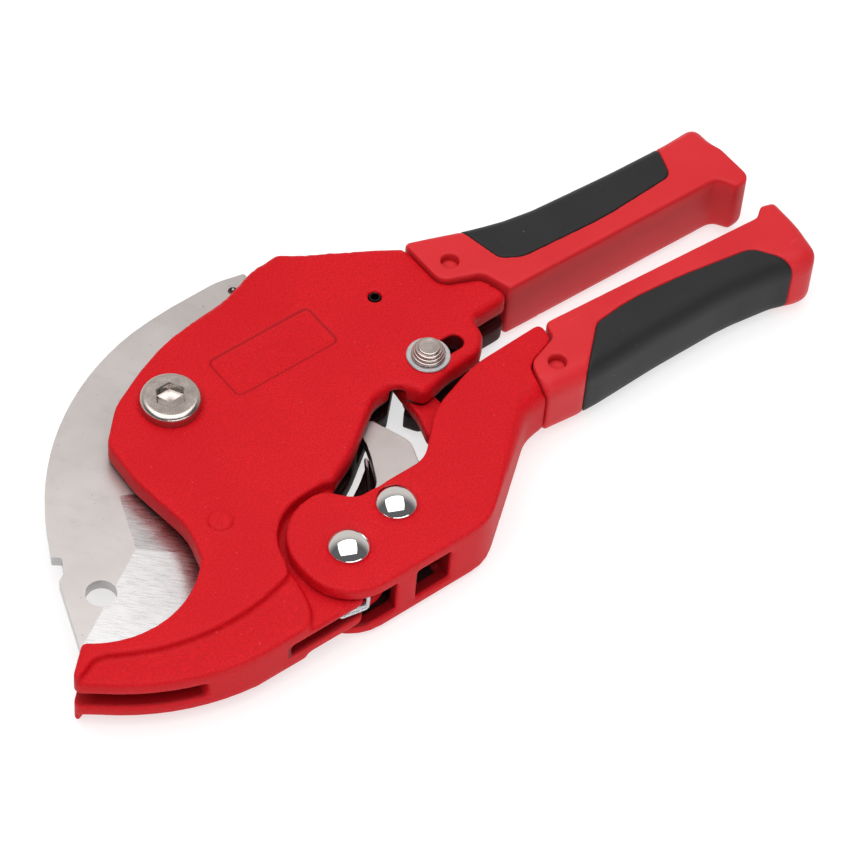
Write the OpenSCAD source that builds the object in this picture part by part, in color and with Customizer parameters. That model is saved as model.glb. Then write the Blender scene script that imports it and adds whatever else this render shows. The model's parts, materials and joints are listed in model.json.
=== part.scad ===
// Ratchet pipe cutter: die-cast frame, swinging blade, ratchet lever and two soft-grip handles.
// Origin: blade pivot axis on the surface the tool lies on. +X to the handles, +Y to the back, +Z up.

/* [Frame casting] */
// Largest pipe the jaw takes, across
pipe_d = 42; // [40:0.5:43]
// Thickness of the frame over both cheeks
body_t = 16.7; // [16:0.1:17]
// Thickness of the outer part of the jaw
jaw_t = 12; // [11:0.5:13]
// Gap between the cheeks that the blade runs in
slot_h = 4.2; // [3.8:0.1:4.4]

/* [Blade and ratchet] */
// Thickness of the blade
blade_t = 3; // [2:0.1:3.2]
// Radius of the ratchet tail over the tooth tips
tail_r = 41; // [40.5:0.1:41.2]
// Number of ratchet teeth
tooth_count = 8; // [6:1:9]
// Height of a ratchet tooth
tooth_h = 2.4; // [1.5:0.1:3]
// Hole for hanging the tool up, across
hang_hole_d = 7; // [5:0.5:7.5]

/* [Lever and pins] */
// Thickness of each lever cheek
lever_cheek_t = 3.8; // [3.4:0.1:3.9]
// Rivet head across
rivet_head_d = 9.6; // [8:0.1:10]
// Pivot bolt head across
bolt_head_d = 14; // [12:0.5:14.5]
// Travel of the lock pin in its slot
lock_travel = 7.5; // [5:0.5:7.5]

/* [Handles] */
// Thickness of the plastic handles
sleeve_t = 18; // [17:0.2:18.4]
// Thickness of the rubber inlay that shows at the handle's face
grip_t = 1.6; // [1.2:0.1:2]

/* [Hidden] */

// Heights: the middle of the blade over the table, and the frame's and handles' faces
mid_z = 10;
body_z = [mid_z + 8 - body_t, mid_z + 8];
sleeve_z = [body_z[1] + 0.8 - sleeve_t, body_z[1] + 0.8];
through_z = [-1, 2 * mid_z + 5];
jaw_z = [mid_z - jaw_t / 2, mid_z + jaw_t / 2];
slot_z = [mid_z - slot_h / 2, mid_z + slot_h / 2];
blade_z = [mid_z - blade_t / 2, mid_z + blade_t / 2];
lever_room_z = [body_z[0] + lever_cheek_t, body_z[1] - lever_cheek_t];
ear_z = lever_room_z + [0.2, -0.2];
window_z = [mid_z - 5.5, mid_z + 4.3];
slit_z = [mid_z - 1.6, mid_z + 1.9];
arm_z = [slot_z[0] + 0.2, slot_z[1] - 0.2];
tang_z = [mid_z - 3.5, mid_z + 3.5];

// Axes of the pins
lever_pivot = [8.8, -54.8];
pawl_pivot = [24.6, -51.3];
anchor_pin = [56.4, -1.6];
lock_at = [55.7, -22.6];
blade_spring_hole = [33.9, 22.6];
hang_hole = [-40, -30.2];
upper_peg = [76.8, -3.5];
lower_peg = [78.5, -41.2];

// Fits and small sizes
run_gap = 0.05;
seat_gap = 0.1;
through = 1;
bolt_r = 3.95;
bolt_head_h = 3.2;
bolt_head_round = 1.4;
bolt_key = 6;
bush_r = 5.95;
rivet_r = 3.95;
pawl_rivet_r = 3.45;
rivet_dome_h = 3;
rivet_foot_h = 1.2;
rivet_sink = 0.4;
ear_r = 9;
nut_flats = 13;
nut_h = 5;
anchor_r = 1.55;
lock_r = 2;
lock_slot_w = 4.4;
spring_wire = 1.1;
lever_spring_r = 7.4;
peg_r = 2.1;
pawl_eye_r = 6;

// Ground edge of the blade: where the flat face ends, and how wide the grind is
grind_start = [-21.6, -10.7];
grind_kink = [-26.9, -24.7];
grind_end = [-50.1, -38.7];
grind_w = 18.6;
edge_land = 0.15;

// Jaw arcs: [centre x, centre y, radius]
seat = [-38.0, -23.9, pipe_d / 2 + 2.7];
rim_step = [-22.7, -3.7, 52.0];
jaw_back = [-17.2, -6.2, 60.1];
blade_back = [19.4, -40.1, 66.9];

// ---------------------------------------------------------------- outlines

// Points of an arc about a centre, from one angle to another
function arc(circle_at, from, to, steps) = [
    for (i = [0:steps])
        let (a = from + (to - from) * i / steps)
        [circle_at[0] + circle_at[2] * cos(a), circle_at[1] + circle_at[2] * sin(a)]
];

// An outline corner [x, y, radius] with its fillet, between the corners before and after it
function fillet(before, at, after) =
    let (
        b = [at[0], at[1]],
        u = ([before[0], before[1]] - b) / norm([before[0], before[1]] - b),
        w = ([after[0], after[1]] - b) / norm([after[0], after[1]] - b),
        half = acos(u * w) / 2,
        r = at[2]
    )
    r == 0 ? [b] :
    let (
        centre = b + (u + w) / norm(u + w) * r / sin(half),
        start = b + u * r / tan(half) - centre,
        sweep = (180 - 2 * half) * (cross(u, w) < 0 ? 1 : -1),
        steps = max(1, ceil(abs(sweep) / 13)),
        first = atan2(start[1], start[0])
    )
    [for (i = [0:steps]) centre + r * [cos(first + sweep * i / steps), sin(first + sweep * i / steps)]];

// Closed outline from corners [x, y, radius]
function outline(corners) =
    let (n = len(corners))
    [for (i = [0:n - 1]) each fillet(corners[(i + n - 1) % n], corners[i], corners[(i + 1) % n])];

// Corners with no fillet, from plain points
function sharp(points) = [for (p = points) [p[0], p[1], 0]];

// Side of the frame that the upper handle meets, from the back edge down
handle_joint = [[71, 7.0, 0.6], [71, -7.4, 3.5], [80.3, -11, 2.4], [82.7, -18.9, 1.4]];

body_corners = concat(
    [
        [-18.2, -1.2, 4], [-10.5, 6.6, 12], [3, 13.2, 40], [16, 16.9, 40], [28, 18.0, 14],
        [38, 21.5, 14], [45.5, 22.1, 2.6], [50.5, 18.6, 14]
    ],
    handle_joint,
    [
        [71.4, -19.3, 1.6], [70.4, -24.6, 4], [66.8, -27.8, 3], [57, -28.6, 10], [48.7, -30.6, 2.6],
        [45.0, -24.3, 3.4], [38.4, -25.0, 6], [25, -34.6, 20], [17.2, -38.2, 5], [14.6, -42, 0],
        [17.2, -50, 0], [11, -58, 0], [5.6, -60, 0], [5.2, -66.2, 2]
    ],
    sharp(arc(jaw_back, -96, -130, 9)),
    [[-60.5, -48.7, 1.6], [-53.2, -42.0, 1.2]],
    sharp(arc(seat, -125, -38, 12)),
    [[-16.9, -30, 14], [-18.9, -13, 10]]
);

// Ground that the lever end swings in, on the two outer faces of the frame
lever_room_corners = [
    [-4.9, -37.6, 14], [15, -37.6, 3], [19, -39.0, 2], [26, -41, 0], [60, -60, 0], [60, -80, 0],
    [-20, -80, 0], [-12, -67, 8], [-7.0, -63.5, 10], [-4.9, -54, 20]
];

// Outer part of the jaw, thinner than the frame
jaw_step_corners = concat(
    [[-70, -51.2, 0], [-59.4, -49.3, 1], [-53.4, -46.9, 2]],
    sharp(arc(rim_step, -122, -77, 9)),
    [[-6.4, -53.3, 2.5], [-4, -48, 0], [9, -48, 0], [9, -80, 0], [-70, -80, 0]]
);

lever_corners = [
    [-3.3, -39, 13.2], [13.0, -39, 6], [18.4, -45.2, 4], [37.4, -45.2, 8], [47.6, -35.4, 16],
    [62, -30.3, 26], [82.9, -29.5, 1.5], [82.0, -34.9, 2], [73.2, -37.8, 3.6], [71.7, -42.5, 6],
    [71.7, -46.3, 0], [65.5, -47.2, 10], [38.6, -67.3, 12], [-3.3, -67.3, 12.4]
];

upper_sleeve_corners = [
    [71.3, 7.3, 1], [84, 3.3, 30], [99, -0.8, 40], [125, -2.6, 60], [142, -3.2, 20], [151.6, -2.8, 3],
    [151.5, -24.4, 2.8], [146.6, -24.3, 1.6], [144.6, -19.7, 2.4], [83.2, -18.1, 0.8],
    [80.8, -10.6, 2.8], [71.3, -7.0, 3.2]
];

lower_sleeve_corners = [
    [83.3, -30.5, 1.6], [144.6, -34.3, 2], [147.6, -32.0, 1.4], [151.6, -32.2, 1.6], [151.3, -41, 20],
    [149.4, -52.2, 4], [144.2, -51.4, 5], [138.5, -49.4, 8], [125, -47.5, 40], [104, -47.3, 60],
    [84, -47.9, 40], [72.0, -46.6, 0.4], [72.0, -42.5, 5.6], [73.5, -38.0, 3.2], [82.3, -35.1, 1.6]
];

// Where the rubber shows on each handle; the far side runs past the handle's edge
upper_grip_corners = [
    [83.6, 7, 0], [86.9, -9.5, 3], [91.7, -12.2, 6], [114.7, -13.7, 60], [136.0, -12.6, 3], [143.0, 7, 0]
];
lower_grip_corners = [
    [77.2, -56, 0], [77.2, -51.9, 2], [93.2, -37.5, 3], [103.6, -36.5, 30], [118.6, -37.9, 60],
    [137.0, -40.9, 5], [142.2, -48.5, 8], [142.4, -56, 0]
];

// Low web of the lever under the pawl
web_corners = [
    [17.8, -46, 0], [17.8, -40.0, 2], [25.6, -36.2, 20], [38.8, -26.6, 2], [42.0, -26.2, 1.5],
    [43.6, -31.0, 3], [41, -46, 0]
];

tooth_step = 66 / tooth_count;

// Ratchet tail: each tooth has a radial face on its clockwise side
function tail_teeth() = [
    for (i = [0:tooth_count - 1])
        for (tip = [0, 1])
            let (
                a = 32.6 - tooth_step * (i + tip),
                r = tip == 1 ? tail_r : tail_r - tooth_h
            )
            [r * cos(a), r * sin(a), 0]
];

blade_corners = concat(
    [[-54.3, -45.4, 1], [-50.9, -36.6, 0], [-45.6, -22.2, 0.4], [-43.4, -21.0, 0.4], [-41.6, -17.3, 0.4],
     [-43.4, -15.9, 0.4]],
    sharp(arc(blade_back, 155, 100, 16)),
    [[16, 26.8, 60], [32, 27.0, 14], [43.8, 24.4, 0.8], [38.5, 24.0, 1.5]],
    tail_teeth(),
    [[15, -12, 14], [-5.6, -20.6, 2], [-11.8, -37.3, 3], [-42.6, -55.9, 2]]
);

pawl_corners = [
    [18.2, -53, 4], [19.6, -45.4, 4], [27.4, -41.2, 6], [32.4, -31, 20], [33.0, -24.9, 0.4],
    [37.3, -26.2, 1.2], [40.9, -36, 5], [37.6, -44.8, 8], [30.6, -54.6, 5], [24.6, -58.2, 4]
];

arm_corners = [
    [44.6, -37.5, 0], [46.6, -31.2, 4], [47.7, -19.6, 1], [50.6, -20.0, 1.2], [53.0, -25.4, 0.6],
    [53.4, -35, 0]
];

// ---------------------------------------------------------------- shared shapes

module slab(corners, z) {
    translate([0, 0, z[0]])
        linear_extrude(height = z[1] - z[0])
            polygon(outline(corners));
}

// Room for a pin through everything
module bore(at, r, z) {
    translate([at[0], at[1], z[0]])
        cylinder(h = z[1] - z[0], r = r, $fn = 64);
}

module ring(at, outer_r, inner_r, z) {
    difference() {
        bore(at, outer_r, z);
        bore(at, inner_r, [z[0] - through, z[1] + through]);
    }
}

// Straight slot along X with round ends, from a point to a point that far along
module slot_x(at, length, w, z) {
    bore(at, w / 2, z);
    bore(at + [length, 0], w / 2, z);
    translate([at[0], at[1] - w / 2, z[0]])
        cube([length, w, z[1] - z[0]]);
}

// Low dome that stands up from z, or down from it
module dome(at, z, head_d, h, side) {
    ball_r = (head_d * head_d / 4 + h * h) / (2 * h);
    intersection() {
        translate([at[0], at[1], z + side * (h - ball_r)])
            sphere(r = ball_r, $fn = 96);
        bore(at, head_d, side > 0 ? [z, z + h + through] : [z - h - through, z]);
    }
}

// Closed ring of round wire
module wire_ring(at, z, ring_r, wire_d) {
    translate([at[0], at[1], z])
        rotate_extrude($fn = 96)
            translate([ring_r, 0])
                circle(d = wire_d, $fn = 24);
}

// Straight round bar between two points
module bar(from, to, r) {
    run = to - from;
    flat = norm([run[0], run[1]]);
    translate(from)
        rotate([0, atan2(flat, run[2]), atan2(run[1], run[0])])
            cylinder(h = norm(run), r = r, $fn = 24);
}

// ---------------------------------------------------------------- frame side

// Middle layer of the frame: open wherever the blade, pawl, arm or spring moves
module middle_room() {
    z = slot_z;
    deep = z[1] - z[0];
    // jaw slot, open through the outer edge from the tip to its end
    translate([-75, -75, z[0]])
        cube([40, 60, deep]);
    // room above the closed edge of the blade
    slab(sharp([[-40, -57], [-34, -53.2], [-10.4, -39], [-8, -36], [-8, -20], [-20, 20], [-40, 20]]), z);
    // ratchet tail and blade boss
    bore([0, 0], tail_r + 0.9, z);
    // back corner of the blade over its whole swing
    intersection() {
        bore([0, 0], 51, z);
        slab(sharp([[0, 0], [20, 40], [70, 40], [70, -44]]), z);
    }
    // open back edge
    slab(sharp([[-30, 0], [-30, 40], [47.5, 40], [47.5, 17.5], [64, 5], [64, -17], [90, -17],
                [90, -40], [44, -40], [30, -32], [10, -20]]), z);
}

module body_casting() color([0.80, 0.12, 0.15]) {
    difference() {
        union() {
            slab(body_corners, body_z);
            bore(lever_pivot, ear_r, ear_z);
            // tang inside the upper handle, with a wide root for the peg
            slab(sharp([[66, -15], [128, -15], [128, -8], [84, -8], [84, -0.5], [66, -0.5]]), tang_z);
            bore([-10.3, -33.2], 2.8, [body_z[0], body_z[1] + 0.4]);
        }
        middle_room();
        for (side = [[ear_z[1], body_z[1] + through], [body_z[0] - through, ear_z[0]]])
            slab(lever_room_corners, side);
        for (side = [[jaw_z[1], body_z[1] + through], [body_z[0] - through, jaw_z[0]]])
            slab(jaw_step_corners, side);
        // slit for the lever spring, out through the lower edge
        bore(lever_pivot, 10.5, slit_z);
        slab(sharp([[-14.7, -70], [-14.7, -62.5], [0, -61.6], [8, -50], [20, -50], [20, -70]]), slit_z);
        // relief through the lower cheek and into the upper one, open to the window over the pawl
        slab(sharp([[43.2, -24.4], [45.9, -26.8], [54.6, -18.6], [54.6, -13.6], [52.8, -15.2]]),
             [through_z[0], body_z[1] - 2.5]);
        // name panel with nothing on it
        slab([[13.6, -7.3, 1.6], [41.8, -7.3, 1.6], [41.8, 4.9, 1.6], [13.6, 4.9, 1.6]],
             [body_z[1] - 0.5, body_z[1] + through]);
        bore([0, 0], bolt_head_d / 2 + 0.5, [body_z[1] - 0.4, body_z[1] + through]);
        bore([0, 0], bolt_r + run_gap, through_z);
        translate([0, 0, body_z[0] - through])
            cylinder(h = nut_h - body_z[0] + through, d = (nut_flats + 0.3) / cos(30), $fn = 6);
        bore(lever_pivot, rivet_r + run_gap, through_z);
        bore(anchor_pin, anchor_r + run_gap, through_z);
        slot_x(lock_at, lock_travel, lock_slot_w, through_z);
        bore(upper_peg, peg_r + run_gap, [mid_z, through_z[1]]);
        // fan-shaped pocket that the blade spring swings in, open at the back edge where it starts
        translate([anchor_pin[0], anchor_pin[1], body_z[0] + 1.4])
            linear_extrude(height = mid_z - body_z[0] - 1.4)
                polygon([[0, 4], for (a = [126:9:144]) 35 * [cos(a), sin(a)],
                         for (a = [144:9:234]) 27 * [cos(a), sin(a)], [0, -4], [3, 0]]);
    }
}

module pivot_bolt() color([0.85, 0.83, 0.80]) {
    head_r = bolt_head_d / 2;
    seat_z = body_z[1] - 0.4;
    difference() {
        union() {
            bore([0, 0], bolt_r, [0, seat_z]);
            translate([0, 0, seat_z])
                rotate_extrude($fn = 96)
                    intersection() {
                        union() {
                            square([head_r, bolt_head_h - bolt_head_round]);
                            square([head_r - bolt_head_round, bolt_head_h]);
                            translate([head_r - bolt_head_round, bolt_head_h - bolt_head_round])
                                circle(r = bolt_head_round, $fn = 48);
                        }
                        square([head_r, bolt_head_h]);
                    }
        }
        translate([0, 0, seat_z + 0.9])
            cylinder(h = 4, d = bolt_key / cos(30), $fn = 6);
    }
}

module pivot_nut() color([0.75, 0.75, 0.74])
    difference() {
        cylinder(h = nut_h, d = nut_flats / cos(30), $fn = 6);
        bore([0, 0], bolt_r + run_gap, [-through, nut_h + through]);
    }

module pivot_bush() color([0.70, 0.62, 0.42])
    ring([0, 0], bush_r, bolt_r + run_gap, [slot_z[0] + 0.02, slot_z[1] - 0.02]);

module blade_washers() color([0.78, 0.78, 0.78])
    for (z = [[slot_z[0] + 0.03, blade_z[0] - 0.04], [blade_z[1] + 0.04, slot_z[1] - 0.03]])
        ring([0, 0], 9, bush_r + run_gap, z);

module roll_pin() color([0.12, 0.12, 0.13])
    difference() {
        ring(anchor_pin, anchor_r, 0.95, [body_z[0] + 0.3, body_z[1] - 0.2]);
        translate([anchor_pin[0], anchor_pin[1] - 0.25, 0])
            cube([4, 0.5, through_z[1]]);
    }

// Closed-coil spring: one turned solid with a groove between its turns, and a wire to each end
module blade_spring() color([0.72, 0.72, 0.72]) {
    wire = 0.8;
    coil_r = 1.6;
    turns = 18;
    z = mid_z - 4.4;
    hole = [blade_spring_hole[0], blade_spring_hole[1], z];
    pin = [anchor_pin[0], anchor_pin[1], z];
    along = (hole - pin) / norm(hole - pin);
    coil_start = pin + along * 6;
    coil_end = coil_start + along * turns * wire;
    translate(coil_start)
        rotate([0, 90, atan2(along[1], along[0])])
            rotate_extrude($fn = 48)
                union() {
                    for (i = [0:turns - 1])
                        translate([coil_r, wire * (i + 0.5)])
                            circle(d = wire * 1.04, $fn = 24);
                    square([coil_r, turns * wire]);
                }
    bar(coil_end - along * 0.5, hole, wire / 2);
    bar(hole - [0, 0, wire / 2], [hole[0], hole[1], blade_z[1] + wire], wire / 2);
    bar(pin + along * (anchor_r + run_gap + wire / 2), coil_start + along * 0.5, wire / 2);
    wire_ring(anchor_pin, z, anchor_r + run_gap + wire / 2, wire);
}

module lever_rivet() color([0.86, 0.86, 0.88]) {
    seat_z = body_z[1] - rivet_sink;
    bore(lever_pivot, rivet_r, [body_z[0] - 0.01, seat_z + 0.01]);
    dome(lever_pivot, seat_z, rivet_head_d, rivet_dome_h, 1);
    dome(lever_pivot, body_z[0], rivet_head_d, rivet_foot_h, -1);
}

module lever_spring() color([0.75, 0.75, 0.76]) {
    for (z = [mid_z - spring_wire / 2, mid_z + spring_wire / 2])
        wire_ring(lever_pivot, z, lever_spring_r, spring_wire * 1.02);
    // a double leg runs out along the slit and hooks up round the end of the frame's lower wall
    hook = [6.1, -65.6];
    bend = [-0.6, -64.4];
    wire_r = spring_wire / 2;
    for (z = [mid_z - wire_r * 0.9, mid_z + wire_r * 0.9]) {
        bar([lever_pivot[0] - 6, lever_pivot[1] - 4.4, z], [bend[0], bend[1], z], wire_r);
        bar([bend[0], bend[1], z], [hook[0], hook[1], z], wire_r);
    }
    bar([hook[0], hook[1], mid_z - spring_wire], [hook[0], hook[1], ear_z[1] - 0.2], wire_r);
}

module blade() color([0.76, 0.76, 0.76])
    difference() {
        slab(blade_corners, blade_z);
        // ground cutting edge, both faces, down to a thin land
        for (side = [1, -1])
            edge_grind(side);
        bore([0, 0], bush_r + run_gap, through_z);
        bore(hang_hole, hang_hole_d / 2, through_z);
        bore(blade_spring_hole, 1.2, through_z);
    }

// Wedge that grinds one face of the blade away towards its lower edge
module edge_grind(side) {
    for (run = [[grind_start, grind_kink], [grind_kink, grind_end]]) {
        along = run[1] - run[0];
        tilt = atan2(blade_t / 2 - edge_land, grind_w);
        lead = run[0] == grind_kink ? 12 : 0;
        translate([run[0][0], run[0][1], mid_z + side * blade_t / 2])
            rotate([0, 0, atan2(along[1], along[0])])
                rotate([-side * tilt, 0, 0])
                    translate([-lead, 0, side > 0 ? 0 : -4])
                        cube([norm(along) + lead + 24, 30, 4]);
    }
}

// ---------------------------------------------------------------- lever side

module lever_casting() color([0.80, 0.12, 0.15]) {
    wall_in = -64.3;
    difference() {
        union() {
            slab(lever_corners, body_z);
            slab(arm_corners, arm_z);
            slab(web_corners, [body_z[0], lever_room_z[0]]);
            // tang inside the lower handle, with a wide root for the peg
            slab(sharp([[66, -45], [84, -45], [84, -43.5], [126, -43.5], [126, -36.5], [66, -36.5]]),
                 tang_z);
        }
        // room between the two cheeks for the frame's ear and the pawl
        slab([[-12, wall_in, 0], [26, wall_in, 4], [43.5, -50, 8], [44.6, -37.6, 0],
              [44.6, -20, 0], [-12, -20, 0]], lever_room_z);
        // only the arm stands out of the neck in the middle layer
        for (z = [[body_z[0] - through, arm_z[0]], [arm_z[1], body_z[1] + through]])
            slab(sharp([[44, -34], [54, -26], [54, -10], [40, -10]]), z);
        // outer wall: open end and window, with a post between them
        translate([-12, -75, window_z[0]])
            cube([25.1, 12, window_z[1] - window_z[0]]);
        translate([18.7, -75, window_z[0]])
            cube([9.3, 12, window_z[1] - window_z[0]]);
        for (at = [lever_pivot, pawl_pivot])
            bore(at, rivet_head_d / 2 + 0.9, [body_z[1] - rivet_sink, body_z[1] + through]);
        bore(lever_pivot, rivet_r + run_gap, through_z);
        bore(pawl_pivot, pawl_rivet_r + run_gap, through_z);
        bore(lower_peg, peg_r + run_gap, [mid_z, through_z[1]]);
    }
}

module pawl_rivet() color([0.86, 0.86, 0.88]) {
    seat_z = body_z[1] - rivet_sink;
    bore(pawl_pivot, pawl_rivet_r, [body_z[0] - 0.01, seat_z + 0.01]);
    dome(pawl_pivot, seat_z, rivet_head_d, rivet_dome_h, 1);
    dome(pawl_pivot, body_z[0], rivet_head_d, rivet_foot_h, -1);
}

module drive_pawl() color([0.74, 0.74, 0.74])
    difference() {
        slab(pawl_corners, blade_z);
        bore(pawl_pivot, pawl_rivet_r + run_gap, through_z);
    }

module pawl_spacer() color([0.70, 0.70, 0.70])
    for (z = [[ear_z[0] - 0.15, blade_z[0] - 0.05], [blade_z[1] + 0.05, blade_z[1] + 0.55]])
        ring(pawl_pivot, 5.2, pawl_rivet_r + run_gap, z);

module pawl_spring() color([0.78, 0.78, 0.79]) {
    coil_r = 4.4;
    wire = 0.9;
    for (i = [0, 1])
        wire_ring(pawl_pivot, blade_z[1] + 0.55 + wire * (i + 0.52), coil_r, wire * 1.02);
    top = [pawl_pivot[0], pawl_pivot[1], blade_z[1] + 0.55 + wire * 0.52];
    bar(top + [-4.3, 1, 0], [28.8, -35, top[2]], wire / 2);
}

module lock_pin() color([0.80, 0.76, 0.70]) {
    bore(lock_at, lock_r, [0.05, body_z[1] + 0.6]);
    bore(lock_at, 4.3, [body_z[1] + 0.55, body_z[1] + 1.5]);
    bore(lock_at, 3.9, [body_z[1] + 1.5, body_z[1] + 2.4]);
    bore(lock_at, 3.5, [body_z[1] + 2.4, body_z[1] + 3.2]);
    bore(lock_at, 3.2, [body_z[1] + 3.2, body_z[1] + 4.1]);
}

module lock_washers() color([0.78, 0.78, 0.78])
    for (z = [[body_z[1] + 0.03, body_z[1] + 0.5], [body_z[0] - 0.5, body_z[0] - 0.03]])
        ring(lock_at, 5.1, lock_r + run_gap, z);

// Spring clip that holds the pin below its lower washer, open on one side
module lock_clip() color([0.55, 0.55, 0.56])
    difference() {
        ring(lock_at, 3.6, lock_r + 0.02, [body_z[0] - 1.2, body_z[0] - 0.55]);
        translate([lock_at[0], lock_at[1] - 1.5, 0])
            cube([5, 3, body_z[0]]);
    }

// ---------------------------------------------------------------- handles

// Rubber channel: top and bottom skins joined round the handle's outer edge
module grip_channel(sleeve_corners, grip_corners, inward) {
    difference() {
        intersection() {
            slab(sleeve_corners, sleeve_z);
            slab(grip_corners, sleeve_z);
        }
        translate([0, inward, 0])
            intersection() {
                slab(sleeve_corners, [sleeve_z[0] + grip_t, sleeve_z[1] - grip_t]);
                translate([80, -60, 0])
                    cube([70, 70, sleeve_z[1]]);
            }
    }
}

module upper_grip() color([0.19, 0.19, 0.19])
    grip_channel(upper_sleeve_corners, upper_grip_corners, -2.4);

module lower_grip() color([0.19, 0.19, 0.19])
    grip_channel(lower_sleeve_corners, lower_grip_corners, 2.4);

module upper_sleeve() color([0.86, 0.20, 0.22])
    difference() {
        slab(upper_sleeve_corners, sleeve_z);
        upper_grip();
        slab(sharp([[66, -15.1], [129, -15.1], [129, -7.9], [84.1, -7.9], [84.1, -0.4], [66, -0.4]]),
             [tang_z[0] - seat_gap, tang_z[1] + seat_gap]);
        bore(upper_peg, peg_r + run_gap, [mid_z, through_z[1]]);
    }

module lower_sleeve() color([0.86, 0.20, 0.22])
    difference() {
        slab(lower_sleeve_corners, sleeve_z);
        lower_grip();
        slab(sharp([[66, -45.1], [84.1, -45.1], [84.1, -43.6], [127, -43.6], [127, -36.4], [66, -36.4]]),
             [tang_z[0] - seat_gap, tang_z[1] + seat_gap]);
        bore(lower_peg, peg_r + run_gap, [mid_z, through_z[1]]);
    }

module upper_handle_peg() color([0.72, 0.14, 0.16])
    bore(upper_peg, peg_r, [mid_z + 0.1, sleeve_z[1] - 2.2]);

module lower_handle_peg() color([0.72, 0.14, 0.16])
    bore(lower_peg, peg_r, [mid_z + 0.1, sleeve_z[1] - 2.2]);

body_casting();
blade();
pivot_bolt();
pivot_nut();
pivot_bush();
blade_washers();
lever_casting();
lever_rivet();
pawl_rivet();
drive_pawl();
pawl_spacer();
pawl_spring();
roll_pin();
blade_spring();
lever_spring();
lock_pin();
lock_washers();
lock_clip();
upper_sleeve();
upper_grip();
upper_handle_peg();
lower_sleeve();
lower_grip();
lower_handle_peg();
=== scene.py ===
"""Ratchet pipe cutter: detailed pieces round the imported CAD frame, their materials, and a plain studio.

Lengths in this script are millimetres in the row frame, and MM turns them into metres.
"""

import json
import math

import bmesh
import bpy
import numpy as np
import openvdb as vdb
from mathutils import Matrix, Vector


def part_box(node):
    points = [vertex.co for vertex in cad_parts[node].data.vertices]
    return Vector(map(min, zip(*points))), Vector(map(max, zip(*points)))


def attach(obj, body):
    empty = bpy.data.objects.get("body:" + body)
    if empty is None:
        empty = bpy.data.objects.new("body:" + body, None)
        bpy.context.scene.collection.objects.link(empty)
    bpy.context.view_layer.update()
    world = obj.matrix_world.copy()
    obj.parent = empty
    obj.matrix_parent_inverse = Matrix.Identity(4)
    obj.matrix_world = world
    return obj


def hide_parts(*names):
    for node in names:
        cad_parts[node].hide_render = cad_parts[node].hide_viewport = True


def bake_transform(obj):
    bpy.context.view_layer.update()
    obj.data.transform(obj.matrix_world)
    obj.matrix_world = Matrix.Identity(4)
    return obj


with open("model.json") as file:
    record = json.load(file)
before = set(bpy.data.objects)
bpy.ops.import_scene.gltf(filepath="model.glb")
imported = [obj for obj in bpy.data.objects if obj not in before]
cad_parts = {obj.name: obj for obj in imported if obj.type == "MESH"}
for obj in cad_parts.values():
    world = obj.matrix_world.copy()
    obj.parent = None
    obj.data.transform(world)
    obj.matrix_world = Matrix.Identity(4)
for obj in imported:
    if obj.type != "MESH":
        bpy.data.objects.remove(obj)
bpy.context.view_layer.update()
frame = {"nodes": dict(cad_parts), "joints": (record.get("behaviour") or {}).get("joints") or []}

MM = 0.001
VOXEL = 0.3
FLATNESS = 0.04      # how far neighbouring faces may lean apart and still be joined
REACH = 7.0          # how far from a surface its distances are kept


# ---------------------------------------------------------------- places, from the frame

def box_mm(node):
    low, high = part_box(node)
    return low / MM, high / MM


def centre_of(node):
    low, high = box_mm(node)
    return (low + high) / 2


def levels(node):
    """Lowest and highest Z of a node."""
    low, high = box_mm(node)
    return low.z, high.z


def joint_point(name):
    joint = next(j for j in frame["joints"] if j["name"] == name)
    return Vector(joint["pos_m"]) / MM


MID_Z = joint_point("blade_swing").z
PLATE_LOW, PLATE_HIGH = levels("lever_casting")
PIVOT = joint_point("blade_swing")
LEVER_PIVOT = joint_point("lever_squeeze")
PAWL_PIVOT = joint_point("pawl_swing")
ANCHOR = centre_of("roll_pin")
LOCK = centre_of("lock_pin")
UPPER_PEG = centre_of("upper_handle_peg")
LOWER_PEG = centre_of("lower_handle_peg")
BLADE_LOW, BLADE_HIGH = levels("blade")


# ---------------------------------------------------------------- distance fields

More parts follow.
